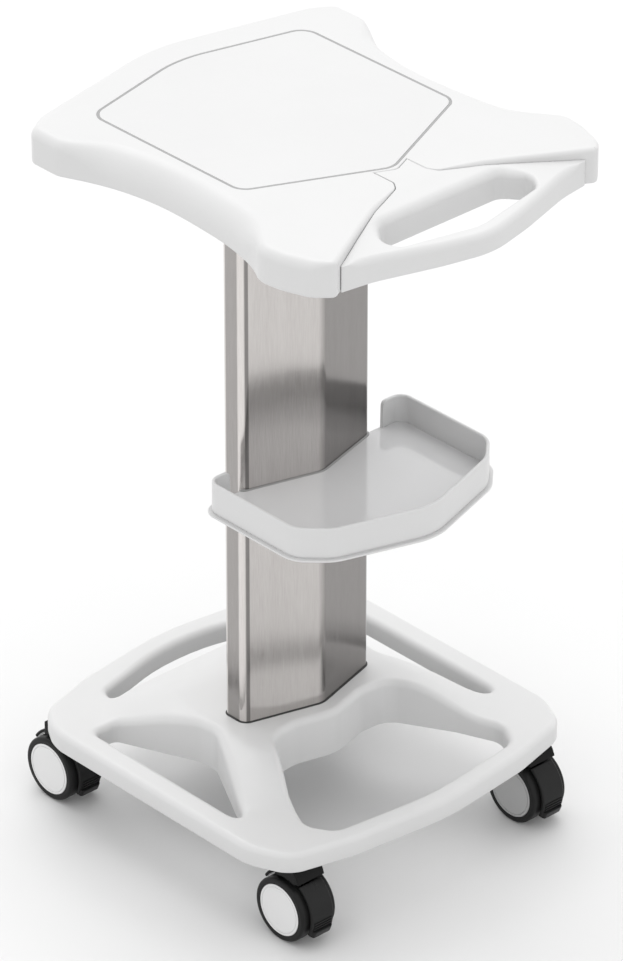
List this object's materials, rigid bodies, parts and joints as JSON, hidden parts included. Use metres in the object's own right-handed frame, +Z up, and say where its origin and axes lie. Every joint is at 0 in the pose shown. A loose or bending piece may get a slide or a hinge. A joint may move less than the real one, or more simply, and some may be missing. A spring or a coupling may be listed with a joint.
{
  "type": "ultrasound trolley",
  "caption": "Wheeled ultrasound machine trolley: winged table top with push handle, brushed steel column, shelf tray and open base on twin-wheel casters with brake pedals.",
  "frame": {"origin": "centre of the bounding box, on the floor under the wheels", "axes": "+Z up, +Y towards the rear edge, the push handle on -Y, +X to the right of a person looking along +Y"},
  "size_m": [0.443, 0.5239, 0.847],
  "materials": {
    "white_moulding": "satin white moulded ABS",
    "panel_white": "satin white, flush writing panel",
    "cover_grey": "fine grained light plastic",
    "brushed_stainless": "brushed along its height",
    "frame_steel": "grey powder coat",
    "zinc_steel": "bright zinc plate",
    "tray_grey": "glossy grey sheet",
    "black_rubber": "soft black seal",
    "black_plastic": "glossy black nylon",
    "pedal_black": "satin black nylon",
    "tyre_black": "smooth black tread",
    "wheel_white": "white nylon wheel centre"
  },
  "bodies": {
    "trolley": {"top_shell": "white_moulding", "writing_panel": "panel_white", "push_handle": "white_moulding", "under_cover": "cover_grey", "top_frame": "frame_steel", "cover_screws": "zinc_steel", "head_bolts": "zinc_steel", "column_shell": "brushed_stainless", "column_core": "frame_steel", "column_head": "frame_steel", "column_foot": "frame_steel", "foot_bolts": "zinc_steel", "column_gasket": "black_rubber", "shelf_tray": "white_moulding", "shelf_mat": "tray_grey", "shelf_seal": "black_rubber", "shelf_bracket": "frame_steel", "shelf_screws": "zinc_steel", "base_cover": "white_moulding", "base_frame": "frame_steel", "base_screws": "zinc_steel", "caster_sockets": "zinc_steel", "bearing_races": "zinc_steel"},
    "caster_fl": {"fork_fl": "black_plastic", "stem_fl": "zinc_steel", "axle_fl": "zinc_steel"},
    "wheel_outer_fl": {"tyre_outer_fl": "tyre_black", "hub_outer_fl": "wheel_white"},
    "wheel_inner_fl": {"tyre_inner_fl": "tyre_black", "hub_inner_fl": "wheel_white"},
    "pedal_fl": {"pedal_fl": "pedal_black"},
    "caster_fr": {"fork_fr": "black_plastic", "stem_fr": "zinc_steel", "axle_fr": "zinc_steel"},
    "wheel_outer_fr": {"tyre_outer_fr": "tyre_black", "hub_outer_fr": "wheel_white"},
    "wheel_inner_fr": {"tyre_inner_fr": "tyre_black", "hub_inner_fr": "wheel_white"},
    "pedal_fr": {"pedal_fr": "pedal_black"},
    "caster_rl": {"fork_rl": "black_plastic", "stem_rl": "zinc_steel", "axle_rl": "zinc_steel"},
    "wheel_outer_rl": {"tyre_outer_rl": "tyre_black", "hub_outer_rl": "wheel_white"},
    "wheel_inner_rl": {"tyre_inner_rl": "tyre_black", "hub_inner_rl": "wheel_white"},
    "pedal_rl": {"pedal_rl": "pedal_black"},
    "caster_rr": {"fork_rr": "black_plastic", "stem_rr": "zinc_steel", "axle_rr": "zinc_steel"},
    "wheel_outer_rr": {"tyre_outer_rr": "tyre_black", "hub_outer_rr": "wheel_white"},
    "wheel_inner_rr": {"tyre_inner_rr": "tyre_black", "hub_inner_rr": "wheel_white"},
    "pedal_rr": {"pedal_rr": "pedal_black"}
  },
  "joints": [
    {"name": "swivel_fl", "type": "hinge", "parent": "trolley", "child": "caster_fl", "pos_m": [-0.1717, -0.161, 0.085], "axis": [0, 0, 1], "continuous": true},
    {"name": "roll_outer_fl", "type": "hinge", "parent": "caster_fl", "child": "wheel_outer_fl", "pos_m": [-0.1717, -0.153, 0.0375], "axis": [1, 0, 0], "continuous": true},
    {"name": "roll_inner_fl", "type": "hinge", "parent": "caster_fl", "child": "wheel_inner_fl", "pos_m": [-0.1717, -0.153, 0.0375], "axis": [1, 0, 0], "continuous": true},
    {"name": "brake_fl", "type": "hinge", "parent": "caster_fl", "child": "pedal_fl", "pos_m": [-0.1717, -0.153, 0.0375], "axis": [1, 0, 0], "range_deg": [0, 12]},
    {"name": "swivel_fr", "type": "hinge", "parent": "trolley", "child": "caster_fr", "pos_m": [0.1717, -0.161, 0.085], "axis": [0, 0, 1], "continuous": true},
    {"name": "roll_outer_fr", "type": "hinge", "parent": "caster_fr", "child": "wheel_outer_fr", "pos_m": [0.1717, -0.153, 0.0375], "axis": [1, 0, 0], "continuous": true},
    {"name": "roll_inner_fr", "type": "hinge", "parent": "caster_fr", "child": "wheel_inner_fr", "pos_m": [0.1717, -0.153, 0.0375], "axis": [1, 0, 0], "continuous": true},
    {"name": "brake_fr", "type": "hinge", "parent": "caster_fr", "child": "pedal_fr", "pos_m": [0.1717, -0.153, 0.0375], "axis": [1, 0, 0], "range_deg": [0, 12]},
    {"name": "swivel_rl", "type": "hinge", "parent": "trolley", "child": "caster_rl", "pos_m": [-0.1717, 0.2164, 0.085], "axis": [0, 0, 1], "continuous": true},
    {"name": "roll_outer_rl", "type": "hinge", "parent": "caster_rl", "child": "wheel_outer_rl", "pos_m": [-0.1717, 0.2244, 0.0375], "axis": [1, 0, 0], "continuous": true},
    {"name": "roll_inner_rl", "type": "hinge", "parent": "caster_rl", "child": "wheel_inner_rl", "pos_m": [-0.1717, 0.2244, 0.0375], "axis": [1, 0, 0], "continuous": true},
    {"name": "brake_rl", "type": "hinge", "parent": "caster_rl", "child": "pedal_rl", "pos_m": [-0.1717, 0.2244, 0.0375], "axis": [1, 0, 0], "range_deg": [0, 12]},
    {"name": "swivel_rr", "type": "hinge", "parent": "trolley", "child": "caster_rr", "pos_m": [0.1717, 0.2164, 0.085], "axis": [0, 0, 1], "continuous": true},
    {"name": "roll_outer_rr", "type": "hinge", "parent": "caster_rr", "child": "wheel_outer_rr", "pos_m": [0.1717, 0.2244, 0.0375], "axis": [1, 0, 0], "continuous": true},
    {"name": "roll_inner_rr", "type": "hinge", "parent": "caster_rr", "child": "wheel_inner_rr", "pos_m": [0.1717, 0.2244, 0.0375], "axis": [1, 0, 0], "continuous": true},
    {"name": "brake_rr", "type": "hinge", "parent": "caster_rr", "child": "pedal_rr", "pos_m": [0.1717, 0.2244, 0.0375], "axis": [1, 0, 0], "range_deg": [0, 12]}
  ]
}
